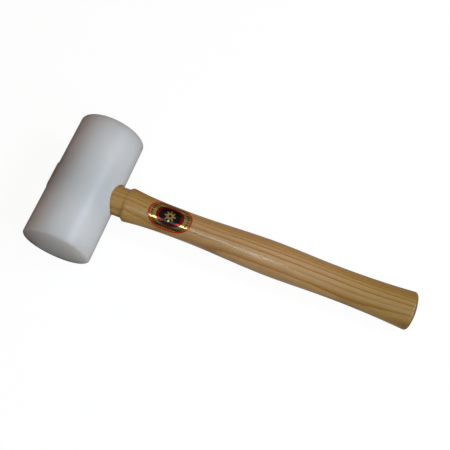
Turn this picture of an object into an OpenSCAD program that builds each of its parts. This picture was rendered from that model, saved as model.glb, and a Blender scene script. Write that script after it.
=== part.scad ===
// Plastic mallet: a solid round head on a wedged ash handle.
// The mallet lies on its side, as it rests on a bench: X runs from the head to the butt
// of the handle, Y along the head and Z up. The origin is under the middle of the whole
// mallet, on the bench. Each piece is drawn about the middle of the head, with the handle
// straight along X, and lying() then lays the mallet down.

/* [Head] */
// Diameter of the head
head_d = 70; // [60:1:90]
// Length of the head, from one striking face to the other
head_len = 137.5; // [100:0.5:180]
// Rounding round the rim of each striking face
head_round = 2.2; // [0.5:0.1:6]

/* [Eye and tenon] */
// Diameter of the round tenon that goes through the head
tenon_d = 30.5; // [26:0.5:34]
// Gap between the tenon and the wall of the eye
eye_gap = 0.05; // [0.02:0.01:0.2]
// How much wider the far end of the eye is, on each side, to lock the spread tenon
eye_flare = 0.4; // [0.2:0.1:2]
// Length of the widened stretch of the eye
flare_len = 28; // [15:1:40]
// Chamfer round the mouth of the eye, where the handle goes in
mouth_chamfer = 0.8; // [0.2:0.1:2]
// How far the trimmed end of the tenon stands proud of the head
tenon_proud = 0.8; // [0.2:0.1:3]

/* [Wedges] */
// Thickness of the timber wedge where it shows at the end of the tenon
timber_t = 3.4; // [2.5:0.1:5]
// Thickness of the timber wedge at its thin edge
timber_edge = 1; // [0.5:0.1:2]
// Length of the timber wedge, from the end of the tenon inwards
timber_len = 36; // [26:1:48]
// Length of the saw kerf that stays open past the timber wedge
kerf_spare = 5; // [1:0.5:10]
// Width of the steel wedge, across the timber one
steel_w = 16; // [10:0.5:20]
// Thickness of the steel wedge where it shows
steel_t = 2.4; // [1.5:0.1:4]
// Thickness of the steel wedge at its thin edge
steel_edge = 0.5; // [0.3:0.1:1]
// Length of the steel wedge
steel_len = 20; // [12:1:24]
// Gap between each wedge and the slot that it is driven into
wedge_gap = 0.05; // [0.02:0.01:0.1]

/* [Shoulder] */
// Length of bare tenon between the head and the shoulder
neck_len = 9; // [4:0.5:16]
// Length of the slope from the tenon up to the shoulder's ridge
shoulder_len = 4; // [2:0.5:8]
// Height of the ridge above the tenon, on the narrow sides of the handle
shoulder_side = 2.95; // [1:0.05:5]
// Height of the ridge above the tenon, on the broad faces of the handle
shoulder_face = 0.35; // [0.25:0.05:2]

/* [Handle] */
// Length from the shoulder's ridge to the slim throat
throat_len = 62.4; // [50:0.1:80]
// Width of the handle at the throat, along the head
throat_w = 30.5; // [26:0.1:34]
// Thickness of the handle at the throat
throat_t = 26.2; // [22:0.1:32]
// Length from the throat to the belly, the thickest part under the palm
belly_len = 92.8; // [70:0.1:120]
// Width of the handle at the belly
belly_w = 36.6; // [32:0.1:42]
// Thickness of the handle at the belly
belly_t = 31.2; // [27:0.1:36]
// Length from the belly to the waist, where the little finger holds
waist_len = 64.2; // [50:0.1:90]
// Width of the handle at the waist
waist_w = 34; // [29:0.1:40]
// Thickness of the handle at the waist
waist_t = 29; // [25:0.1:34]
// Length from the waist to the end of the butt
butt_len = 83.8; // [60:0.1:110]
// Width of the flared butt
butt_w = 39.9; // [34:0.1:46]
// Thickness of the flared butt
butt_t = 35.2; // [30:0.1:42]
// Rounding round the end of the butt
butt_round = 3.2; // [2:0.1:8]
// Height of the low dome on the end of the butt
butt_crown = 2.8; // [0.5:0.1:4]

/* [Label] */
// Length of the oval label, along the handle
label_len = 45.5; // [30:0.5:60]
// Height of the oval label, measured round the handle
label_h = 32.2; // [16:0.2:34]
// Distance from the shoulder's ridge to the middle of the label
label_at = 44.8; // [40:0.1:60]
// How far the middle of the label sits round the handle, from the middle of the broad face
label_round = -0.8; // [-4:0.1:4]
// Thickness of the label's foil
label_t = 0.15; // [0.1:0.01:0.3]
// Film of adhesive between the label and the handle
label_glue = 0.08; // [0.06:0.01:0.15]
// How square the oval is: 2 gives an ellipse, more gives fuller corners
label_square = 2.2; // [2:0.1:3]

/* [Hidden] */
$fn = 96;

head_r = head_d / 2;
tenon_r = tenon_d / 2;
// The end of the tenon is trimmed to a curve round the head's own axis
trim_r = head_r + tenon_proud;
// Cutting shapes run on past what they cut by this much
over = 2;

// Places along X, from the axis of the head
step_x = head_r + neck_len;
ridge_x = step_x + shoulder_len;
throat_x = ridge_x + throat_len;
belly_x = throat_x + belly_len;
waist_x = belly_x + waist_len;
butt_x = waist_x + butt_len;
timber_x = timber_len - trim_r;
steel_x = steel_len - trim_r;
label_x = ridge_x + label_at;

// The rounding of the butt stops at this angle, where the dome takes over
round_angle = 72;
round_x = butt_x - butt_crown - butt_round * sin(round_angle);
// Powers of the two curves that don't end level: ridge to throat, and waist to butt
ridge_curve = 3;
butt_curve = 2.2;

// Sides of the handle's oval, and rings along its length, its rounding and its dome
oval_sides = 48;
body_rings = 54;
round_rings = 6;
dome_rings = 3;
// The oval body starts this far inside the round tenon
lap = 0.2;

// Rings and sides of the label's oval
label_rings = 12;
label_sides = 56;

// The bench touches the head and the rounding under the butt, so the handle slopes down
butt_drop = butt_t / 2 - butt_round;
tilt = asin((head_r - butt_round) / norm([round_x, butt_drop])) - atan2(butt_drop, round_x);
mid_x = (butt_x * cos(tilt) - trim_r) / 2;

// Lays the mallet on the bench, over the origin
module lying()
    translate([-mid_x, 0, head_r])
        rotate([0, tilt, 0])
            children();

function lerp(a, b, u) = a + (b - a) * u;
// Level at both ends
function eased(u) = u * u * (3 - 2 * u);

// Half of the handle's width or thickness at x, from its sizes at the five stations
function half_size(x, ridge, throat, belly, waist, butt) =
    x < throat_x ? lerp(throat, ridge, pow((throat_x - x) / throat_len, ridge_curve)) :
    x < belly_x ? lerp(throat, belly, eased((x - throat_x) / belly_len)) :
    x < waist_x ? lerp(belly, waist, eased((x - belly_x) / waist_len)) :
    lerp(waist, butt, pow((x - waist_x) / (round_x - waist_x), butt_curve));
function half_w(x) =
    half_size(x, tenon_r + shoulder_side, throat_w / 2, belly_w / 2, waist_w / 2, butt_w / 2);
function half_t(x) =
    half_size(x, tenon_r + shoulder_face, throat_t / 2, belly_t / 2, waist_t / 2, butt_t / 2);

// Rings of the handle's body, each with its place, half width and half thickness
function body_stations() =
    [for (i = [0:body_rings]) let (x = lerp(ridge_x, round_x, i / body_rings)) [x, half_w(x), half_t(x)]];
function butt_station(angle) =
    let (inset = butt_round * (1 - cos(angle)))
    [round_x + butt_round * sin(angle), butt_w / 2 - inset, butt_t / 2 - inset];
function round_stations() =
    [for (i = [1:round_rings]) butt_station(round_angle * i / round_rings)];
function dome_stations() =
    let (rim = butt_station(round_angle))
    [for (i = [1:dome_rings])
        let (u = 1 - i / (dome_rings + 1))
        [rim[0] + butt_crown * (1 - u * u), rim[1] * u, rim[2] * u]];
function handle_stations() = concat(
    [[step_x, tenon_r - lap, tenon_r - lap]],
    body_stations(),
    round_stations(),
    dome_stations()
);
// One oval ring, from the middle of the upper face round by the +Y side
function oval(station, sides) =
    [for (i = [0:sides - 1])
        let (a = 360 * i / sides)
        [station[0], station[1] * sin(a), station[2] * cos(a)]];

// The two triangles of one cell between ring i and ring i + 1
function cell(i, j, sides) =
    let (
        next = (j + 1) % sides,
        a = i * sides + j,
        b = i * sides + next,
        c = (i + 1) * sides + next,
        d = (i + 1) * sides + j
    )
    [[a, b, c], [a, c, d]];
function reversed(face) = [for (i = [len(face) - 1:-1:0]) face[i]];

// Shouldered oval body of the handle, from inside the tenon to the domed butt
module handle_body() {
    stations = handle_stations();
    rings = len(stations);
    points = concat([for (s = stations) each oval(s, oval_sides)], [[butt_x, 0, 0]]);
    tip = rings * oval_sides;
    last = tip - oval_sides;
    near_end = [for (j = [oval_sides - 1:-1:0]) j];
    sides = [for (i = [0:rings - 2], j = [0:oval_sides - 1]) each cell(i, j, oval_sides)];
    far_end = [for (j = [0:oval_sides - 1]) [last + j, last + (j + 1) % oval_sides, tip]];
    polyhedron(points, concat([near_end], sides, far_end), convexity = 4);
}

// Round tenon and, with a gap, the eye that it fits: straight from the handle, then widening
module tenon_shape(gap, near_x) {
    flare_x = flare_len - head_r;
    far_x = -trim_r - over;
    far_r = tenon_r + eye_flare * (flare_x - far_x) / flare_len;
    rotate([0, 90, 0])
        rotate_extrude()
            polygon([
                [0, far_x],
                [far_r + gap, far_x],
                [tenon_r + gap, flare_x],
                [tenon_r + gap, near_x],
                [0, near_x]
            ]);
}

// Everything on the handle's side of the trimmed end of the tenon
module inside_trim() {
    wide = tenon_d + 2 * eye_flare + 4 * over;
    rotate([90, 0, 0])
        cylinder(r = trim_r, h = wide, center = true);
    translate([0, -wide / 2, -trim_r])
        cube([ridge_x + over, wide, 2 * trim_r]);
}

// Wedge outline, in the plane of its length and thickness, wide at the trimmed end
module wedge_outline(wide_t, edge_t, tip_x, gap) {
    length = tip_x + trim_r;
    back_t = wide_t + (wide_t - edge_t) * over / length;
    polygon([
        [-trim_r - over, back_t / 2 + gap],
        [-trim_r - over, -back_t / 2 - gap],
        [tip_x + gap, -edge_t / 2 - gap],
        [tip_x + gap, edge_t / 2 + gap]
    ]);
}

// Timber wedge as wide as the tenon, and the kerf that it is driven into
module timber_shape(gap) {
    rotate([90, 0, 0])
        linear_extrude(tenon_d + 4 * over, center = true)
            wedge_outline(timber_t, timber_edge, timber_x, gap);
}
module kerf_shape() {
    timber_shape(wedge_gap);
    kerf_t = timber_edge + 2 * wedge_gap;
    wide = tenon_d + 4 * over;
    translate([timber_x, -wide / 2, -kerf_t / 2])
        cube([kerf_spare, wide, kerf_t]);
}

// Steel wedge, driven across the timber one, and with a gap the slot for it
module steel_shape(gap)
    linear_extrude(steel_w + 2 * gap, center = true)
        wedge_outline(steel_t, steel_edge, steel_x, gap);

// Half of the head's outline: a rectangle with two rounded corners
module head_outline() {
    square_len = head_len - 2 * head_round;
    translate([0, -head_len / 2])
        square([head_r - head_round, head_len]);
    translate([0, -square_len / 2])
        square([head_r, square_len]);
    for (end = [-1, 1])
        translate([head_r - head_round, end * square_len / 2])
            circle(head_round);
}

// Solid turned head with the eye through it
module head()
    color("whitesmoke")
        lying()
            difference() {
                rotate([90, 0, 0])
                    rotate_extrude()
                        head_outline();
                tenon_shape(eye_gap, head_r + over);
                eye_mouth();
            }

// Cone that breaks the edge of the eye at the top of the head's curve
module eye_mouth() {
    mouth_x = head_r - mouth_chamfer;
    top_r = tenon_r + eye_gap + mouth_chamfer + over;
    translate([mouth_x, 0, 0])
        rotate([0, 90, 0])
            cylinder(r1 = tenon_r + eye_gap, r2 = top_r, h = mouth_chamfer + over);
}

// Ash handle: round tenon, shouldered oval body, saw kerf and the steel wedge's slot
module handle()
    color("burlywood")
        lying()
            difference() {
                union() {
                    intersection() {
                        tenon_shape(0, ridge_x);
                        inside_trim();
                    }
                    handle_body();
                }
                kerf_shape();
                steel_shape(wedge_gap);
            }

// Timber wedge, trimmed with the tenon's end and split by the steel wedge
module timber_wedge()
    color("sienna")
        lying()
            difference() {
                intersection() {
                    timber_shape(0);
                    tenon_shape(0, ridge_x);
                    inside_trim();
                }
                steel_shape(wedge_gap);
            }

// Steel wedge, ground off level with the end of the tenon
module steel_wedge()
    color("silver")
        lying()
            intersection() {
                steel_shape(0);
                inside_trim();
            }

// Angle on the handle's oval, from the middle of the broad face, for a length of arc
function arc_angle(arc, a, b, turns = 5) =
    turns == 0 ? 0 :
    let (guess = arc_angle(arc, a, b, turns - 1))
    (arc - (a - b) / 4 * sin(2 * guess)) / ((a + b) / 2) * 180 / PI;

// Point of the label, from its middle: along the handle, round it and above its surface
function on_handle(along, round, rise) =
    let (
        x = label_x + along,
        a = half_w(x) + rise,
        b = half_t(x) + rise,
        angle = arc_angle(label_round + round, a, b)
    )
    [x, a * sin(angle), b * cos(angle)];

// Power that keeps its sign, for the fuller oval
function bent(v) = sign(v) * pow(abs(v), 2 / label_square);
function label_ring(share, rise) =
    [for (j = [0:label_sides - 1])
        let (a = 360 * j / label_sides)
        on_handle(bent(cos(a)) * share * label_len / 2, bent(sin(a)) * share * label_h / 2, rise)];
function label_sheet(rise) = [for (i = [1:label_rings]) each label_ring(i / label_rings, rise)];

// Oval foil label on the upper face of the handle, bent to its curve
module label() {
    count = label_rings * label_sides;
    upper = label_sheet(label_glue + label_t);
    lower = label_sheet(label_glue);
    middles = [on_handle(0, 0, label_glue + label_t), on_handle(0, 0, label_glue)];
    js = [0:label_sides - 1];
    upper_faces = concat(
        [for (j = js) [2 * count, (j + 1) % label_sides, j]],
        [for (i = [0:label_rings - 2], j = js) each cell(i, j, label_sides)]
    );
    lower_faces = [for (f = upper_faces) [for (k = reversed(f)) k == 2 * count ? k + 1 : k + count]];
    rim = count - label_sides;
    rim_faces = [for (j = js)
        let (next = (j + 1) % label_sides)
        each [
            [rim + j, rim + next, rim + next + count],
            [rim + j, rim + next + count, rim + j + count]
        ]];
    color("goldenrod")
        lying()
            polyhedron(
                concat(upper, lower, middles),
                concat(upper_faces, lower_faces, rim_faces),
                convexity = 4
            );
}

head();
handle();
timber_wedge();
steel_wedge();
label();
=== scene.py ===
"""Looks of a plastic mallet lying on its side: turned white head, wedged ash handle, foil label."""

import math

import bpy
from mathutils import Matrix, Vector


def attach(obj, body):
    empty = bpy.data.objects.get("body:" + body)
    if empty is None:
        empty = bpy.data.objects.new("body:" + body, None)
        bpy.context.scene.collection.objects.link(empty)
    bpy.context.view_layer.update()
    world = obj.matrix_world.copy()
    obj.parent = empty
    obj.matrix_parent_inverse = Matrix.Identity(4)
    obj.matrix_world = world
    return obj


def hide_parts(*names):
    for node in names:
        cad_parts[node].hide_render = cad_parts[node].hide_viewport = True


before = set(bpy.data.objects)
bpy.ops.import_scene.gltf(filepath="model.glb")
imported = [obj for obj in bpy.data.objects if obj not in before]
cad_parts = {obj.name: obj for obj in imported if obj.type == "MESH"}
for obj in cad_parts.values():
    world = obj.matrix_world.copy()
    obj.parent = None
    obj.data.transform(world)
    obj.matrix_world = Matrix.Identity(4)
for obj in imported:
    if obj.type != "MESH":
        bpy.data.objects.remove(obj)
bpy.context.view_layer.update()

MM = 0.001

# Sizes of the mallet in millimetres, as its solids have them
HEAD_R = 35
HEAD_LEN = 137.5
HEAD_ROUND = 2.2
TENON_R = 15.25
TENON_PROUD = 0.8
EYE_GAP = 0.05
EYE_FLARE = 0.4
FLARE_LEN = 28
TIMBER_T = 3.4
TIMBER_EDGE = 1
TIMBER_LEN = 36
STEEL_W = 16
STEEL_T = 2.4
STEEL_EDGE = 0.5
STEEL_LEN = 20
WEDGE_GAP = 0.05
NECK_LEN = 9
SHOULDER_LEN = 4
SHOULDER_SIDE = 2.95
SHOULDER_FACE = 0.35
THROAT_LEN = 62.4
BELLY_LEN = 92.8
WAIST_LEN = 64.2
BUTT_LEN = 83.8
BUTT_ROUND = 3.2
BUTT_CROWN = 2.8
LABEL_LEN = 45.5
LABEL_H = 32.2
LABEL_AT = 44.8
LABEL_ROUND = -0.8
LABEL_T = 0.15
LABEL_GLUE = 0.08
LABEL_SQUARE = 2.2

# The edge of the eye's mouth is broken by this much along the curve of the head, where the solid has a
# plain chamfer
MOUTH_CHAMFER = 1.4

# Half widths and half thicknesses of the handle at ridge, throat, belly, waist and butt
HALF_W = (TENON_R + SHOULDER_SIDE, 15.25, 18.3, 17, 19.95)
HALF_T = (TENON_R + SHOULDER_FACE, 13.1, 15.6, 14.5, 17.6)

# Powers of the curves from ridge to throat, from waist to butt, and up the slope to the ridge
RIDGE_CURVE = 3
BUTT_CURVE = 2.2
SLOPE_CURVE = 1.2
# The rounding of the butt stops at this angle, where the dome takes over
ROUND_ANGLE = math.radians(72)
# Sanding breaks the edge of the trimmed tenon by this much
TRIM_BROKEN = 0.35
# Cutting shapes run on past what they cut by this much
OVER = 2

# Places along the handle, from the axis of the head
TRIM_R = HEAD_R + TENON_PROUD
STEP_X = HEAD_R + NECK_LEN
RIDGE_X = STEP_X + SHOULDER_LEN
THROAT_X = RIDGE_X + THROAT_LEN
BELLY_X = THROAT_X + BELLY_LEN
WAIST_X = BELLY_X + WAIST_LEN
BUTT_X = WAIST_X + BUTT_LEN
ROUND_X = BUTT_X - BUTT_CROWN - BUTT_ROUND * math.sin(ROUND_ANGLE)
LABEL_X = RIDGE_X + LABEL_AT

# Sides of the rings that make up each mesh, and rings along each stretch of it
HEAD_SIDES = 192
HEAD_RINGS = 60
FACE_RIM_RINGS = 10
EYE_SIDES = 128
HANDLE_SIDES = 96
NECK_RINGS = 36
SLOPE_RINGS = 5
GRIP_RINGS = 148
ROUND_RINGS = 8
LABEL_SIDES = 96
LABEL_RINGS = 24
FLOOR_SIDES = 96
SWEEP_RINGS = 16
# Rings on the ends: radii in millimetres on a face of the head, and shares of the full size on the handle
FACE_RINGS = (28, 20, 12, 4)
TRIM_SHARES = (0.25, 0.5, 0.75, 0.9, 0.985)
DOME_SHARES = (0.86, 0.7, 0.5, 0.25)
# Edges bent by more than this look sharp
SHARP_ANGLE = math.radians(40)

# The mallet lies on its head and on the rounding of its butt
BUTT_DROP = HALF_T[-1] - BUTT_ROUND
TILT = math.asin((HEAD_R - BUTT_ROUND) / math.hypot(ROUND_X, BUTT_DROP)) - math.atan2(BUTT_DROP, ROUND_X)
MID_X = (BUTT_X * math.cos(TILT) - TRIM_R) / 2
HEAD_CENTRE = Vector((-MID_X, 0, HEAD_R)) * MM
LYING = Matrix.Translation(HEAD_CENTRE) @ Matrix.Rotation(TILT, 4, "Y") @ Matrix.Scale(MM, 4)

# Sockets of a Mix node for colours: what it goes from, what it goes to, and the mixed colour
FROM, TO, MIXED = 6, 7, 2


# Shader nodes


def linear(colour):
    """sRGB hex colour as the linear RGBA that a shader takes."""
    shares = [int(colour[i : i + 2], 16) / 255 for i in (1, 3, 5)]
    return [s / 12.92 if s <= 0.04045 else ((s + 0.055) / 1.055) ** 2.4 for s in shares] + [1]


def add(tree, kind, inputs=None, points=(), joined="AUTO", **settings):
    """Adds a shader node. Its inputs are plain values, nodes or their outputs, and a curve joins points."""
    node = tree.nodes.new("ShaderNode" + kind)
    for name, value in settings.items():
        setattr(node, name, value)
    for key, value in (inputs or {}).items():
        if isinstance(value, bpy.types.Node):
            value = value.outputs[0]
        if isinstance(value, bpy.types.NodeSocket):
            tree.links.new(value, node.inputs[key])
        else:
            node.inputs[key].default_value = value
    for i, (at, height) in enumerate(points):
        drawn = node.mapping.curves[0].points
        point = drawn[i] if i < 2 else drawn.new(at, height)
        point.location = (at, height)
        point.handle_type = joined
    if points:
        node.mapping.extend = "HORIZONTAL"
        node.mapping.update()
    return node


def new_material(name):
    """Empty material with its Principled surface, as (material, node tree, surface)."""
    material = bpy.data.materials.new(name)
    material.use_nodes = True
    return material, material.node_tree, material.node_tree.nodes["Principled BSDF"]


def handle_mm(tree):
    """Place on the mallet in millimetres: x along the handle, y along the head, z off the broad face."""
    place = add(tree, "TexCoord").outputs["Object"]
    moved = add(tree, "VectorMath", {0: place, 1: HEAD_CENTRE}, operation="SUBTRACT")
    turned = add(tree, "VectorRotate", {"Vector": moved, "Angle": -TILT}, rotation_type="Y_AXIS")
    return add(tree, "VectorMath", {0: turned, "Scale": 1 / MM}, operation="SCALE")


# Lines of the handle


def ease(u):
    """Rises from 0 to 1, level at both ends."""
    return u * u * (3 - 2 * u)


def half_size(x, sizes):
    """Half of the handle's width or thickness at x."""
    ridge, throat, belly, waist, butt = sizes
    if x < THROAT_X:
        return throat + (ridge - throat) * ((THROAT_X - x) / THROAT_LEN) ** RIDGE_CURVE
    if x < BELLY_X:
        return throat + (belly - throat) * ease((x - THROAT_X) / BELLY_LEN)
    if x < WAIST_X:
        return belly + (waist - belly) * ease((x - BELLY_X) / WAIST_LEN)
    return waist + (butt - waist) * ((min(x, ROUND_X) - WAIST_X) / (ROUND_X - WAIST_X)) ** BUTT_CURVE


def tenon_radius(x):
    """The tenon is straight from the handle and widens towards its wedged end."""
    flare_x = FLARE_LEN - HEAD_R
    return TENON_R + EYE_FLARE * max(0, flare_x - x) / FLARE_LEN


# Meshes


def mesh_object(name, points, faces, material):
    """Mesh drawn in millimetres about the head's middle, laid on the bench."""
    mesh = bpy.data.meshes.new(name)
    mesh.from_pydata([LYING @ Vector(p) for p in points], [], faces)
    mesh.materials.append(material)
    mesh.update()
    piece = bpy.data.objects.new(name, mesh)
    bpy.context.scene.collection.objects.link(piece)
    mesh.polygons.foreach_set("use_smooth", [True] * len(mesh.polygons))
    mesh.set_sharp_from_angle(angle=SHARP_ANGLE)
    return piece


def bands(rings, sides):
    """Four-sided faces between rings of points, each ring with the same number of sides."""
    return [
        (i * sides + j, (i + 1) * sides + j, (i + 1) * sides + (j + 1) % sides, i * sides + (j + 1) % sides)
        for i in range(rings - 1)
        for j in range(sides)
    ]


def fan(start, sides, tip, flip):
    """Triangles that close a ring of points on one point."""
    faces = [(start + j, start + (j + 1) % sides, tip) for j in range(sides)]
    return [tuple(reversed(f)) for f in faces] if flip else faces


def tube(name, rings, tips, material, flip=False):
    """Rings of points joined into a closed shape, with a tip at each end."""
    sides = len(rings[0])
    count = len(rings) * sides
    points = [p for ring in rings for p in ring] + list(tips)
    faces = bands(len(rings), sides)
    faces += fan(0, sides, count, False) + fan(count - sides, sides, count + 1, True)
    if flip:
        faces = [tuple(reversed(f)) for f in faces]
    return mesh_object(name, points, faces, material)


def steps(start, end, count):
    """Evenly spaced values from start to end, both kept."""
    return [start + (end - start) * i / count for i in range(count + 1)]


def turns(sides):
    """Angles of the corners of a ring."""
    return [2 * math.pi * j / sides for j in range(sides)]


# Handle


def trimmed_ring(share, sides):
    """Ring on the sanded end of the tenon, which follows the curve of the head."""
    ring = []
    for a in turns(sides):
        x = -TRIM_R
        # The tenon's radius depends on x, so the two are found together, in a few rounds
        for _ in range(4):
            r = tenon_radius(x)
            x = -math.sqrt(TRIM_R**2 - (r * share * math.cos(a)) ** 2)
        ring.append((x, r * share * math.sin(a), r * share * math.cos(a)))
    return ring


def oval_ring(x, half_w, half_t, sides):
    """Ring across the handle."""
    return [(x, half_w * math.sin(a), half_t * math.cos(a)) for a in turns(sides)]


def handle_rings(sides):
    """Rings of the handle from the middle of its trimmed end to the dome of its butt."""
    rings = [trimmed_ring(share, sides) for share in TRIM_SHARES]
    rings.append([(x + TRIM_BROKEN, y, z) for x, y, z in trimmed_ring(1, sides)])
    # Rings square to the handle start where the curve of the trimmed end is over
    trim_end = 8 - HEAD_R
    for x in steps(trim_end, STEP_X, NECK_RINGS):
        rings.append(oval_ring(x, tenon_radius(x), tenon_radius(x), sides))
    for u in steps(0, 1, SLOPE_RINGS)[1:]:
        bulge = math.sin(u * math.pi / 2) ** SLOPE_CURVE
        half_w = TENON_R + SHOULDER_SIDE * bulge
        half_t = TENON_R + SHOULDER_FACE * bulge
        rings.append(oval_ring(STEP_X + SHOULDER_LEN * u, half_w, half_t, sides))
    for x in steps(RIDGE_X, ROUND_X, GRIP_RINGS)[1:]:
        rings.append(oval_ring(x, half_size(x, HALF_W), half_size(x, HALF_T), sides))
    for a in steps(0, ROUND_ANGLE, ROUND_RINGS)[1:]:
        inset = BUTT_ROUND * (1 - math.cos(a))
        x = ROUND_X + BUTT_ROUND * math.sin(a)
        rings.append(oval_ring(x, HALF_W[-1] - inset, HALF_T[-1] - inset, sides))
    inset = BUTT_ROUND * (1 - math.cos(ROUND_ANGLE))
    for u in DOME_SHARES:
        x = BUTT_X - BUTT_CROWN * u * u
        rings.append(oval_ring(x, (HALF_W[-1] - inset) * u, (HALF_T[-1] - inset) * u, sides))
    return rings


def wedge_prism(name, wide_t, edge_t, length, width, flat):
    """Wedge shape that runs in from the trimmed end, to cut a slot. A flat one is wide along the head."""
    far = -TRIM_R - OVER
    back = wide_t / 2 + (wide_t - edge_t) / 2 * OVER / length + WEDGE_GAP
    tip = length - TRIM_R + WEDGE_GAP
    edge = edge_t / 2 + WEDGE_GAP
    half = width / 2 + WEDGE_GAP
    outline = [(far, back), (far, -back), (tip, -edge), (tip, edge)]
    points = [(x, side, t) if flat else (x, t, side) for side in (-half, half) for x, t in outline]
    faces = [(0, 1, 2, 3), (7, 6, 5, 4), (0, 4, 5, 1), (1, 5, 6, 2), (2, 6, 7, 3), (3, 7, 4, 0)]
    if not flat:
        faces = [tuple(reversed(f)) for f in faces]
    return mesh_object(name, points, faces, bpy.data.materials.new(name))


def cut(piece, *cutters):
    """Cuts shapes out of a piece for good. The cut faces keep the piece's own finish."""
    for cutter in cutters:
        modifier = piece.modifiers.new("cut", "BOOLEAN")
        modifier.object = cutter
        modifier.operation = "DIFFERENCE"
        modifier.solver = "EXACT"
        graph = bpy.context.evaluated_depsgraph_get()
        mesh = bpy.data.meshes.new_from_object(piece.evaluated_get(graph))
        piece.modifiers.clear()
        piece.data = mesh
        bpy.data.objects.remove(cutter)
    while len(piece.data.materials) > 1:
        piece.data.materials.pop()
    piece.data.polygons.foreach_set("material_index", [0] * len(piece.data.polygons))
    piece.data.set_sharp_from_angle(angle=SHARP_ANGLE)


def make_handle(material):
    """Handle with its trimmed tenon, slotted for the two wedges. The kerf runs right across the tenon."""
    tips = (-TRIM_R, 0, 0), (BUTT_X, 0, 0)
    handle = tube("ash_handle", handle_rings(HANDLE_SIDES), tips, material)
    kerf = wedge_prism("kerf", TIMBER_T, TIMBER_EDGE, TIMBER_LEN, 3 * TENON_R, True)
    steel_slot = wedge_prism("steel_slot", STEEL_T, STEEL_EDGE, STEEL_LEN, STEEL_W, False)
    cut(handle, kerf, steel_slot)
    return handle


# Label


def arc_angle(arc, half_w, half_t):
    """Angle on the handle's oval, from the middle of the broad face, for a length of arc."""
    angle = 0
    # A few rounds bring the angle close enough
    for _ in range(6):
        angle = (arc - (half_w - half_t) / 4 * math.sin(2 * angle)) / ((half_w + half_t) / 2)
    return angle


def label_point(along, arc, rise):
    """Where a flat place on the label lies once it is bent to the handle."""
    x = LABEL_X + along
    half_w = half_size(x, HALF_W) + rise
    half_t = half_size(x, HALF_T) + rise
    angle = arc_angle(LABEL_ROUND + arc, half_w, half_t)
    return x, half_w * math.sin(angle), half_t * math.cos(angle)


def fuller(share):
    """Sine or cosine of a corner, moved out to give the label's oval its fuller corners."""
    return math.copysign(abs(share) ** (2 / LABEL_SQUARE), share)


def make_label(material):
    """Oval foil bent to the handle, with its flat millimetres kept as its map."""
    sides = LABEL_SIDES
    flat = [
        (fuller(math.cos(a)) * share * LABEL_LEN / 2, fuller(math.sin(a)) * share * LABEL_H / 2)
        for share in steps(0, 1, LABEL_RINGS)[1:]
        for a in turns(sides)
    ]
    count = len(flat)
    flat.append((0, 0))
    upper = [label_point(along, arc, LABEL_GLUE + LABEL_T) for along, arc in flat]
    lower = [label_point(along, arc, LABEL_GLUE) for along, arc in flat]
    top = bands(LABEL_RINGS, sides) + fan(0, sides, count, False)
    under = [tuple(v + count + 1 for v in reversed(f)) for f in top]
    rim = count - sides
    edge = [
        (rim + j, rim + j + count + 1, rim + (j + 1) % sides + count + 1, rim + (j + 1) % sides)
        for j in range(sides)
    ]
    label = mesh_object("foil_label", upper + lower, top + under + edge, material)
    layer = label.data.uv_layers.new(name="printed_mm")
    for loop in label.data.loops:
        along, arc = flat[loop.vertex_index % (count + 1)]
        layer.data[loop.index].uv = (along / LABEL_LEN + 0.5, arc / LABEL_LEN + 0.5)
    return label


# Head


def head_profile():
    """Half outline of the head as (radius, place along the head), from face to face."""
    square = HEAD_LEN / 2 - HEAD_ROUND
    rim = [
        (HEAD_R - HEAD_ROUND + HEAD_ROUND * math.cos(a), square + HEAD_ROUND * math.sin(a))
        for a in steps(0, math.pi / 2, FACE_RIM_RINGS)
    ]
    face = [(r, HEAD_LEN / 2) for r in FACE_RINGS]
    upper = rim + face
    side = [(HEAD_R, y) for y in steps(-square, square, HEAD_RINGS)[1:-1]]
    lower = [(r, -y) for r, y in reversed(upper)]
    return lower + side + upper


def make_head(material):
    """Round head, turned about its length and then bored for the handle."""
    rings = [
        [(r * math.sin(a), y, r * math.cos(a)) for a in turns(HEAD_SIDES)]
        for r, y in head_profile()
    ]
    tips = (0, -HEAD_LEN / 2, 0), (0, HEAD_LEN / 2, 0)
    head = tube("plastic_head", rings, tips, material, flip=True)
    cut(head, eye_shape())
    return head


def mouth_ring(wider, deeper, sides):
    """Ring about the handle's axis that follows the curve of the head."""
    r = TENON_R + EYE_GAP + wider
    return [
        (math.sqrt(HEAD_R**2 - (r * math.cos(a)) ** 2) - deeper, r * math.sin(a), r * math.cos(a))
        for a in turns(sides)
    ]


def eye_shape():
    """Turned shape of the eye, wider towards the far end, with the edge of its mouth broken all round."""
    # Both ends lie well clear of the head
    far = -HEAD_R - 3
    above = HEAD_R + 4
    rings = []
    for x in (far, FLARE_LEN - HEAD_R):
        rings.append(oval_ring(x, tenon_radius(x) + EYE_GAP, tenon_radius(x) + EYE_GAP, EYE_SIDES))
    inner = mouth_ring(0, MOUTH_CHAMFER, EYE_SIDES)
    outer = mouth_ring(MOUTH_CHAMFER, 0, EYE_SIDES)
    # The slope of the broken edge runs on past the head
    clear = [tuple(2 * q - p for p, q in zip(*pair)) for pair in zip(inner, outer)]
    rings += [inner, clear, [(above, y, z) for _, y, z in clear]]
    return tube("eye", rings, ((far, 0, 0), (above, 0, 0)), bpy.data.materials.new("eye"))


# Finishes


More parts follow.
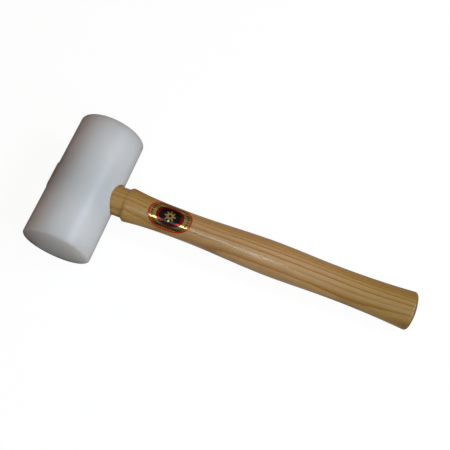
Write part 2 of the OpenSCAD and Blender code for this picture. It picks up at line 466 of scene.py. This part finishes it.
def polyethylene():
    """Natural white polyethylene, turned: milky, so light sinks in and comes out further on.
    Blue light is turned back first, which leaves the shaded side warmer."""
    material, tree, surface = new_material("white_polyethylene")
    place = handle_mm(tree)
    # Faint clouds in the plastic, some 30 mm across
    cloud = add(tree, "TexNoise", {"Vector": place, "Scale": 0.035, "Detail": 3})
    colour = add(tree, "Mix", {0: cloud, FROM: linear("#e4e8ea"), TO: linear("#eef1f2")}, data_type="RGBA")
    # Painted shade and painted light bounced off the tenon: the thin lip of the eye is tinted towards its
    # brown
    across = add(tree, "VectorMath", {0: place, 1: (0, 1, 1)}, operation="MULTIPLY")
    reach = add(tree, "VectorMath", {0: across}, operation="LENGTH").outputs["Value"]
    lip = add(
        tree,
        "MapRange",
        {"Value": reach, "From Min": TENON_R + 2.4, "From Max": TENON_R + 0.6, "To Max": 0.75},
        interpolation_type="SMOOTHSTEP",
    )
    colour = add(tree, "Mix", {0: lip, FROM: colour.outputs[MIXED], TO: linear("#b8915c")}, data_type="RGBA")
    tree.links.new(colour.outputs[MIXED], surface.inputs["Base Color"])
    # Feed marks of the lathe, about 0.7 mm wide with finer ones between
    parts = add(tree, "SeparateXYZ", {0: place})
    along = add(tree, "CombineXYZ", {0: parts.outputs["Y"]})
    marks = add(tree, "TexNoise", {"Vector": along, "Scale": 1.4, "Detail": 4, "Roughness": 0.7})
    rough = add(tree, "MapRange", {"Value": marks, "To Min": 0.34, "To Max": 0.44})
    tree.links.new(rough.outputs[0], surface.inputs["Roughness"])
    bump = add(tree, "Bump", {"Height": marks, "Strength": 0.05, "Distance": 0.2 * MM})
    tree.links.new(bump.outputs[0], surface.inputs["Normal"])
    surface.inputs["IOR"].default_value = 1.5
    surface.inputs["Subsurface Weight"].default_value = 1
    surface.inputs["Subsurface Radius"].default_value = (1, 0.82, 0.72)
    # Near the eye the light meets the tenon before it has gone far
    far = add(
        tree,
        "MapRange",
        {
            "Value": reach,
            "From Min": TENON_R + 1,
            "From Max": TENON_R + 18,
            "To Min": 6 * MM,
            "To Max": 70 * MM,
        },
        interpolation_type="SMOOTHSTEP",
    )
    tree.links.new(far.outputs[0], surface.inputs["Subsurface Scale"])
    return material


# Way towards the pith, across the handle: the rings stand nearly upright in the broad face
PITH_WAY = (0, -0.935, 0.355)
# Growth rings: place in millimetres, from the handle's middle towards the pith, and strength of the line
RINGS = (
    (-20, 0.4), (-17.6, 0.5), (-15.1, 0.4), (-12.6, 0.6), (-10.1, 0.5), (-7.6, 0.5), (-4, 0.6),
    (-0.8, 0.65), (3.4, 0.65), (8.3, 0.8), (12.8, 0.35), (16.9, 0.6), (21.6, 0.55), (26, 0.7),
)
# Run of the grain: place along the handle, spread of the rings there, and how far they lean in millimetres
GRAIN_RUN = (
    (30, 1.05, 1), (70, 1.06, 0.8), (100, 1.05, 0.2), (130, 1.04, 0.1), (150, 1.06, -0.1), (160, 1.05, 0),
    (200, 1, 0), (230, 1, 0.2), (255, 1.02, 0.2), (285, 1.02, -0.2), (310, 1.06, -0.5), (350, 1.12, -0.5),
)
# Shade of the wood along the handle: painted shade darkens the neck, where the head shades it, and the wood
# is darker towards the butt
PAINTED_SHADE_ALONG = ((20, 0.82), (62, 0.85), (112, 1), (160, 1.03), (230, 1.01), (300, 0.815), (352, 0.745))
# Lacquer left along the handle, worn where hands hold it
LACQUER = ((44, 0.25), (72, 0.35), (120, 1), (250, 1), (300, 0.75), (352, 0.6))
# Curves along the handle run from the axis of the head over this many millimetres
CURVE_RUN = 400


def along_handle(tree, reach, rows, low, high):
    """Value that changes along the handle, from rows of (millimetres, value) between low and high."""
    marks = [(x / CURVE_RUN, (value - low) / (high - low)) for x, value in rows]
    curve = add(tree, "FloatCurve", {"Value": reach}, marks)
    return add(tree, "Math", {0: curve, 1: high - low, 2: low}, operation="MULTIPLY_ADD")


def ash():
    """Sanded ash under satin lacquer: pale tan wood, brown porous ring lines, fine pores."""
    material, tree, surface = new_material("lacquered_ash")
    place = handle_mm(tree)
    along = add(tree, "SeparateXYZ", {0: place}).outputs["X"]
    reach = add(tree, "Math", {0: along, 1: CURVE_RUN}, operation="DIVIDE")
    spread = along_handle(tree, reach, [(x, spread) for x, spread, _ in GRAIN_RUN], 0.9, 1.2)
    lean = along_handle(tree, reach, [(x, lean) for x, _, lean in GRAIN_RUN], -1, 2)
    # Depth of each spot in the tree, towards the pith
    depth = add(tree, "VectorMath", {0: place, 1: PITH_WAY}, operation="DOT_PRODUCT").outputs["Value"]
    depth = add(tree, "Math", {0: depth, 1: spread, 2: lean}, operation="MULTIPLY_ADD")
    first, last, count = RINGS[0][0], RINGS[-1][0], len(RINGS) - 1
    share = add(tree, "MapRange", {"Value": depth, "From Min": first, "From Max": last})
    marks = [((at - first) / (last - first), i / count) for i, (at, _) in enumerate(RINGS)]
    years = add(tree, "FloatCurve", {"Value": share}, marks, "VECTOR")
    # A ring's line lies just short of its place
    marks = [((at - 0.4 - first) / (last - first), strength) for at, strength in RINGS]
    strength = add(tree, "FloatCurve", {"Value": share}, marks, "VECTOR")
    years = add(tree, "Math", {0: years, 1: -count}, operation="MULTIPLY")
    phase = add(tree, "Math", {0: years}, operation="FRACT")
    # Each ring starts with a brown porous line, sharp on one side, and its late wood fades to pale
    late = add(tree, "Math", {0: 1, 1: phase}, operation="SUBTRACT")
    line = add(tree, "Math", {0: late, 1: 4}, operation="POWER")
    start = add(tree, "MapRange", {"Value": phase, "From Max": 0.12}, interpolation_type="SMOOTHSTEP")
    line = add(tree, "Math", {0: line, 1: start}, operation="MULTIPLY")
    line = add(tree, "Math", {0: line, 1: strength}, operation="MULTIPLY")
    # The lines are fainter at the neck
    neck = add(
        tree, "MapRange", {"Value": along, "From Min": 58, "From Max": 90, "To Min": 1.08, "To Max": 1.75}
    )
    line = add(tree, "Math", {0: line, 1: neck}, operation="MULTIPLY")
    late = add(tree, "Math", {0: late, 1: 1.6}, operation="POWER")
    # The rings away from the pith stand closer, so the wood between them is darker
    close = add(tree, "MapRange", {"Value": depth, "From Min": 2.5, "From Max": -3, "To Max": 0.3})
    # Finer layers inside a ring, 0.8 mm apart and long
    run = add(tree, "Math", {0: along, 1: 0.012}, operation="MULTIPLY")
    rise = add(tree, "Math", {0: depth, 1: 1.2}, operation="MULTIPLY")
    layer_map = add(tree, "CombineXYZ", {0: run, 1: rise})
    layers = add(tree, "TexNoise", {"Vector": layer_map, "Scale": 1, "Detail": 3, "Roughness": 0.6})
    # Fibres about 1 mm thick and some 25 mm long, and broader bands of colour
    fibre_map = add(tree, "VectorMath", {0: place, 1: (0.04, 0.9, 0.9)}, operation="MULTIPLY")
    fibres = add(tree, "TexNoise", {"Vector": fibre_map, "Scale": 1, "Detail": 5, "Roughness": 0.7})
    band_map = add(tree, "VectorMath", {0: place, 1: (0.01, 0.25, 0.25)}, operation="MULTIPLY")
    bands_of_colour = add(tree, "TexNoise", {"Vector": band_map, "Scale": 1, "Detail": 3})
    # Open pores: short dark dashes, thickest in the porous lines, drawn twice as wide as real ones
    pore_map = add(tree, "VectorMath", {0: place, 1: (0.25, 2, 2)}, operation="MULTIPLY")
    pores = add(tree, "TexNoise", {"Vector": pore_map, "Scale": 1, "Detail": 2})
    limit = add(tree, "Math", {0: line, 1: -0.075, 2: 0.62}, operation="MULTIPLY_ADD")
    over = add(tree, "Math", {0: pores, 1: limit}, operation="SUBTRACT")
    pore = add(tree, "MapRange", {"Value": over, "From Max": 0.07}, interpolation_type="SMOOTHSTEP")
    fade = add(tree, "Math", {0: late, 1: 0.3, 2: close}, operation="MULTIPLY_ADD")
    dash = add(tree, "Math", {0: pore, 1: 0.35}, operation="MULTIPLY")
    # Pale wood in two tans, then late wood, porous lines and pores over it
    pale, tan = linear("#cea162"), linear("#dcb177")
    wood = add(tree, "Mix", {0: bands_of_colour, FROM: pale, TO: tan}, data_type="RGBA")
    for cover, colour in ((fade, "#ba873b"), (line, "#a8660e"), (dash, "#7a4c1a")):
        wood = add(tree, "Mix", {0: cover, FROM: wood.outputs[MIXED], TO: linear(colour)}, data_type="RGBA")
    # Shade: fine layers, fibres, the painted shade along the handle, and painted shade in the corner of the
    # shoulder
    # Painted shade along the handle, from the rows above
    painted_shade = along_handle(tree, reach, PAINTED_SHADE_ALONG, 0, 2)
    shade = painted_shade
    for pattern, dark, light in ((fibres, 0.86, 1.14), (layers, 0.88, 1.1)):
        fine = add(
            tree,
            "MapRange",
            {"Value": pattern, "From Min": 0.3, "From Max": 0.7, "To Min": dark, "To Max": light},
        )
        shade = add(tree, "Math", {0: shade, 1: fine}, operation="MULTIPLY")
    # Painted shade: a dark line in the corner where the neck meets the shoulder
    corner = add(tree, "Math", {0: along, 1: STEP_X + 0.6}, operation="SUBTRACT")
    corner = add(tree, "Math", {0: corner}, operation="ABSOLUTE")
    corner = add(
        tree,
        "MapRange",
        {"Value": corner, "From Max": 0.7, "To Min": 0.72, "To Max": 1},
        interpolation_type="SMOOTHSTEP",
    )
    shade = add(tree, "Math", {0: shade, 1: corner}, operation="MULTIPLY")
    # Where the painted shade along the handle darkens the wood, its blue drops faster, so it is also warmer
    warm = add(tree, "Math", {0: painted_shade, 1: 1.7}, operation="POWER")
    warm = add(tree, "Math", {0: shade, 1: warm}, operation="MULTIPLY")
    grey = add(tree, "CombineColor", {0: shade, 1: shade, 2: warm})
    wood = add(
        tree, "Mix", {0: 1, FROM: wood.outputs[MIXED], TO: grey}, data_type="RGBA", blend_type="MULTIPLY"
    )
    # End grain drinks the lacquer, so it goes dark and loses its gloss, less so at the shoulder
    normal = add(tree, "SeparateXYZ", {0: add(tree, "TexCoord").outputs["Normal"]})
    facing = add(tree, "Math", {0: normal.outputs["X"]}, operation="ABSOLUTE")
    full = add(
        tree, "MapRange", {"Value": along, "From Min": 100, "From Max": 300, "To Min": 0.5, "To Max": 0.6}
    )
    shoulder = add(tree, "Math", {0: along, 1: STEP_X}, operation="SUBTRACT")
    shoulder = add(tree, "Math", {0: shoulder}, operation="ABSOLUTE")
    shoulder = add(
        tree, "MapRange", {"Value": shoulder, "From Min": 4, "From Max": 12, "To Min": 0.25, "To Max": 0.75}
    )
    end = add(tree, "MapRange", {"Value": facing, "From Min": 0.15, "From Max": full, "To Max": shoulder})
    wood = add(tree, "Mix", {0: end, FROM: wood.outputs[MIXED], TO: linear("#5e3a1a")}, data_type="RGBA")
    tree.links.new(wood.outputs[MIXED], surface.inputs["Base Color"])
    lacquer = along_handle(tree, reach, LACQUER, 0, 1)
    coat = add(tree, "Math", {0: end, 1: -1.1, 2: lacquer}, operation="MULTIPLY_ADD", use_clamp=True)
    tree.links.new(coat.outputs[0], surface.inputs["Coat Weight"])
    rough = add(
        tree, "MapRange", {"Value": fibres, "From Min": 0.3, "From Max": 0.7, "To Min": 0.4, "To Max": 0.54}
    )
    tree.links.new(rough.outputs[0], surface.inputs["Roughness"])
    # Fibres stand up a little and pores dip under the lacquer
    relief = add(tree, "Math", {0: pore, 1: -0.4, 2: 1}, operation="MULTIPLY_ADD")
    relief = add(tree, "Math", {0: fibres, 1: 0.8, 2: relief}, operation="MULTIPLY_ADD")
    bump = add(tree, "Bump", {"Height": relief, "Strength": 0.8, "Distance": 0.14 * MM})
    tree.links.new(bump.outputs[0], surface.inputs["Normal"])
    tree.links.new(bump.outputs[0], surface.inputs["Coat Normal"])
    surface.inputs["IOR"].default_value = 1.5
    surface.inputs["Coat Roughness"].default_value = 0.13
    return material


def wedge_hardwood():
    """Dark close-grained hardwood, sanded off: short streaks of end grain."""
    material, tree, surface = new_material("wedge_hardwood")
    place = handle_mm(tree)
    # Streaks about 1.7 mm long and 0.3 mm thick on the end that shows
    streaks = add(tree, "VectorMath", {0: place, 1: (0.15, 0.6, 3)}, operation="MULTIPLY")
    grain = add(tree, "TexNoise", {"Vector": streaks, "Scale": 1, "Detail": 4})
    colour = add(tree, "Mix", {0: grain, FROM: linear("#5a3920"), TO: linear("#8a5c36")}, data_type="RGBA")
    tree.links.new(colour.outputs[MIXED], surface.inputs["Base Color"])
    surface.inputs["Roughness"].default_value = 0.5
    return material


def mild_steel():
    """Mild steel ground off with the wood: grey, with fine straight scratches."""
    material, tree, surface = new_material("ground_steel")
    place = handle_mm(tree)
    # Scratches 0.2 mm apart and 2.5 mm long, drawn coarser than real ones so that they show
    scratch_map = add(tree, "VectorMath", {0: place, 1: (1, 6, 0.4)}, operation="MULTIPLY")
    scratches = add(tree, "TexNoise", {"Vector": scratch_map, "Scale": 1, "Detail": 4})
    rough = add(tree, "MapRange", {"Value": scratches, "To Min": 0.28, "To Max": 0.5})
    tree.links.new(rough.outputs[0], surface.inputs["Roughness"])
    bump = add(tree, "Bump", {"Height": scratches, "Strength": 0.2, "Distance": 0.05 * MM})
    tree.links.new(bump.outputs[0], surface.inputs["Normal"])
    surface.inputs["Base Color"].default_value = linear("#b4b2ae")
    surface.inputs["Metallic"].default_value = 1
    return material


# Print on the label: width of its orange rim in millimetres, then how far out the red band and the black
# middle reach and how softly their inks end, where the label's middle is 0 and its rim 1
RIM_W = 2
RED_OUT = 0.64
BLACK_OUT = 0.5
INK_BLUR = 0.012
# Row of short ticks in the gold: their number, and the middle and half width of their row on the same scale
TICKS = 44
TICK_OUT = 0.82
TICK_HALF = 0.045
# Rosette: number of petals, then in millimetres the circle that they swing about, their swing and its hole
PETALS = 8
PETAL_R = 4.6
PETAL_SWING = 1.5
ROSETTE_HOLE = 1.3
# How softly the rim and the rosette end, in millimetres
EDGE_BLUR = 0.2


def foil():
    """Gold foil printed with inks: black and orange cover the metal, and it shines through the red."""
    material, tree, surface = new_material("printed_foil")
    spot = add(tree, "UVMap", uv_map="printed_mm")
    spot = add(tree, "VectorMath", {0: spot, 1: (0.5, 0.5, 0)}, operation="SUBTRACT")
    spot = add(tree, "VectorMath", {0: spot, "Scale": LABEL_LEN}, operation="SCALE")
    parts = add(tree, "SeparateXYZ", {0: spot})
    # How far out a spot is: 0 in the middle of the label and 1 on its rim
    powers = []
    for axis, half in (("X", LABEL_LEN / 2), ("Y", LABEL_H / 2)):
        share = add(tree, "Math", {0: parts.outputs[axis], 1: half}, operation="DIVIDE")
        share = add(tree, "Math", {0: share}, operation="ABSOLUTE")
        powers.append(add(tree, "Math", {0: share, 1: LABEL_SQUARE}, operation="POWER"))
    out = add(tree, "Math", {0: powers[0], 1: powers[1]}, operation="ADD")
    out = add(tree, "Math", {0: out, 1: 1 / LABEL_SQUARE}, operation="POWER")
    radius = add(tree, "VectorMath", {0: spot}, operation="LENGTH").outputs["Value"]
    bearing = add(tree, "Math", {0: parts.outputs["Y"], 1: parts.outputs["X"]}, operation="ARCTAN2")
    # How far in from the rim a spot is, in millimetres along its own ray
    ray = add(tree, "Math", {0: radius, 1: out}, operation="DIVIDE")
    inset = add(tree, "Math", {0: ray, 1: radius}, operation="SUBTRACT")
    # Where each ink lies: rim, red band, black middle and ticks
    rim = add(tree, "MapRange", {"Value": inset, "From Min": RIM_W, "From Max": RIM_W - EDGE_BLUR})
    red = add(tree, "MapRange", {"Value": out, "From Min": RED_OUT, "From Max": RED_OUT - INK_BLUR})
    black = add(tree, "MapRange", {"Value": out, "From Min": BLACK_OUT, "From Max": BLACK_OUT - INK_BLUR})
    tick_wave = add(tree, "Math", {0: bearing, 1: TICKS}, operation="MULTIPLY")
    tick_wave = add(tree, "Math", {0: tick_wave}, operation="COSINE")
    tick = add(tree, "MapRange", {"Value": tick_wave, "From Min": -0.1, "From Max": 0.3})
    tick_row = add(tree, "Math", {0: out, 1: TICK_OUT, 2: TICK_HALF}, operation="COMPARE")
    tick = add(tree, "Math", {0: tick, 1: tick_row}, operation="MULTIPLY")
    # Plain gold rosette, left bare in the black middle
    petal = add(tree, "Math", {0: bearing, 1: PETALS}, operation="MULTIPLY")
    petal = add(tree, "Math", {0: petal}, operation="COSINE")
    petal = add(tree, "Math", {0: petal, 1: PETAL_SWING, 2: PETAL_R}, operation="MULTIPLY_ADD")
    inside = add(tree, "Math", {0: petal, 1: radius}, operation="SUBTRACT")
    rosette = add(tree, "MapRange", {"Value": inside, "From Max": EDGE_BLUR})
    hole = add(
        tree, "MapRange", {"Value": radius, "From Min": ROSETTE_HOLE, "From Max": ROSETTE_HOLE + EDGE_BLUR}
    )
    rosette = add(tree, "Math", {0: rosette, 1: hole}, operation="MULTIPLY")
    shown = add(tree, "Math", {0: rosette, 1: black}, operation="MULTIPLY")
    gold = linear("#b3975b")
    colour = add(tree, "Mix", {0: tick, FROM: gold, TO: linear("#2c2a1c")}, data_type="RGBA")
    for where, ink in ((rim, "#c23c12"), (red, "#861b20"), (black, "#0a0808")):
        colour = add(tree, "Mix", {0: where, FROM: colour.outputs[MIXED], TO: linear(ink)}, data_type="RGBA")
    colour = add(tree, "Mix", {0: shown, FROM: colour.outputs[MIXED], TO: gold}, data_type="RGBA")
    tree.links.new(colour.outputs[MIXED], surface.inputs["Base Color"])
    # Orange ink hides the metal and black lets some of its shine through, while gold and red keep it all
    solid = add(tree, "Math", {0: black, 1: shown}, operation="SUBTRACT")
    solid = add(tree, "Math", {0: solid, 1: 0.35, 2: rim}, operation="MULTIPLY_ADD")
    metal = add(tree, "Math", {0: solid, 1: -0.75, 2: 0.85}, operation="MULTIPLY_ADD")
    tree.links.new(metal.outputs[0], surface.inputs["Metallic"])
    surface.inputs["Roughness"].default_value = 0.12
    return material


# Studio

# The floor is flat this far out, then sweeps up on a round of this radius to a wall this high, in metres
FLAT_R = 3
SWEEP_R = 2
WALL_TOP = 6


def studio_floor():
    """Plain pale floor that sweeps up far away. Only the camera sees it, so it throws no light back."""
    material, _, surface = new_material("pale_floor")
    surface.inputs["Base Color"].default_value = linear("#646464")
    surface.inputs["Roughness"].default_value = 1
    surface.inputs["Specular IOR Level"].default_value = 0
    surface.inputs["Emission Color"].default_value = (1, 1, 1, 1)
    surface.inputs["Emission Strength"].default_value = 0.93
    # Its glow lights nothing, so no light is looked for there
    material.cycles.emission_sampling = "NONE"
    rings = [(r, 0) for r in (0.5, 1, 2, FLAT_R)]
    for a in steps(0, math.pi / 2, SWEEP_RINGS)[1:]:
        rings.append((FLAT_R + SWEEP_R * math.sin(a), SWEEP_R - SWEEP_R * math.cos(a)))
    rings.append((FLAT_R + SWEEP_R, WALL_TOP))
    points = [(r * math.cos(a), r * math.sin(a), z) for r, z in rings for a in turns(FLOOR_SIDES)]
    faces = bands(len(rings), FLOOR_SIDES) + fan(0, FLOOR_SIDES, len(points), False)
    points.append((0, 0, 0))
    mesh = bpy.data.meshes.new("studio_floor")
    mesh.from_pydata(points, [], faces)
    mesh.materials.append(material)
    mesh.polygons.foreach_set("use_smooth", [True] * len(mesh.polygons))
    floor = bpy.data.objects.new("studio_floor", mesh)
    bpy.context.scene.collection.objects.link(floor)
    floor.visible_diffuse = False
    floor.visible_glossy = False
    floor.visible_transmission = False
    floor.visible_shadow = False


def panel(name, place, turn, size, power, colour):
    """Rectangle of soft light that the camera can't see."""
    light = bpy.data.lights.new(name, "AREA")
    light.shape = "RECTANGLE"
    light.size, light.size_y = size
    light.energy = power
    light.color = linear(colour)[:3]
    stand = bpy.data.objects.new(name, light)
    stand.location = place
    stand.rotation_euler = turn
    stand.visible_camera = False
    bpy.context.scene.collection.objects.link(stand)


# Place that the lamps face, in metres
LAMP_AIM = Vector((-0.02, 0, 0.03))
# Lamps: bearing from the handle's direction and height in degrees, distance in metres, height and width of
# the panel in metres, the shade it gives to white that faces it, and its colour
LAMPS = (
    ("right_window", 18, 43, 1.5, (0.35, 0.35), 0.3, "#e8f4ff"),
    ("side_window", -22, 30, 1.5, (0.5, 0.5), 0.33, "#e4f0ff"),
    ("ceiling", 90, 80, 1.5, (1.2, 0.9), 0.065, "#fff8f0"),
    ("ceiling_left", 170, 62, 1.5, (0.8, 1.2), 0.06, "#ffb48a"),
    ("low_left", 190, 8, 1.5, (0.8, 2), 0.04, "#ff8a3c"),
    ("ceiling_back", 90, 48, 1.5, (0.8, 2), 0.05, "#ffece8"),
    ("ceiling_front", -90, 50, 1.5, (0.7, 1.6), 0.04, "#d0f0ff"),
    ("skylight", -87, 68.2, 1.44, (0.34, 0.36), 0.115, "#ecffff"),
    ("low_right", 0, 9, 1.5, (0.3, 1), 0.06, "#ffa000"),
    ("low_front", -95, 10, 1.5, (0.25, 1.5), 0.04, "#ffb888"),
    ("back_wall", 90, 16, 1.5, (0.6, 2), 0.075, "#ffd080"),
)
# Light thrown back up by the bench: middle of the patch and its size along x and y in metres, its shade and
# its colour
BENCH_GLOW = (
    ("bench_right", (0.894, 0), (2, 3), 0.3, "#fff8e8"),
    ("bench_front", (-0.125, -0.57), (0.13, 1), 0.185, "#fcfff0"),
)


def light_the_studio():
    """Soft lamps round the mallet, glowing patches of bench and a dim room."""
    for name, bearing, height, distance, size, shade, colour in LAMPS:
        turn, rise = math.radians(bearing), math.radians(height)
        towards = (math.cos(rise) * math.cos(turn), math.cos(rise) * math.sin(turn), math.sin(rise))
        back = Vector(towards).normalized()
        facing = back.to_track_quat("Z", "X").to_euler()
        # A panel of this power gives white the shade at this distance
        power = shade * (math.pi * distance) ** 2
        panel(name, LAMP_AIM + back * distance, facing, size, power, colour)
    for name, (x, y), size, shade, colour in BENCH_GLOW:
        # A patch of this power has the shade itself
        power = math.pi * size[0] * size[1] * shade
        panel(name, (x, y, -MM), (math.pi, 0, 0), size, power, colour)
    world = bpy.data.worlds.new("dim_room")
    world.use_nodes = True
    world.node_tree.nodes["Background"].inputs["Color"].default_value = linear("#0c0a08")
    bpy.context.scene.world = world


def set_camera():
    """Camera where the photograph was taken from, about 0.7 m off."""
    camera = bpy.data.cameras.new("camera")
    camera.sensor_width = 36
    camera.lens = 54.44
    holder = bpy.data.objects.new("camera", camera)
    holder.location = (0.06035, -0.24386, 0.66102)
    holder.rotation_euler = [math.radians(a) for a in (23.023, -2.009, 20.267)]
    bpy.context.scene.collection.objects.link(holder)
    bpy.context.scene.camera = holder
    bpy.context.scene.view_settings.view_transform = "Standard"


def dress(piece, node):
    """Puts a finished piece in the place of its plain solid."""
    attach(piece, "root")
    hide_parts(node)


# All put together

set_camera()
dress(make_head(polyethylene()), "head")
dress(make_handle(ash()), "handle")
dress(make_label(foil()), "label")
for node, finish in (("timber_wedge", wedge_hardwood()), ("steel_wedge", mild_steel())):
    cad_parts[node].data.materials.clear()
    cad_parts[node].data.materials.append(finish)
studio_floor()
light_the_studio()
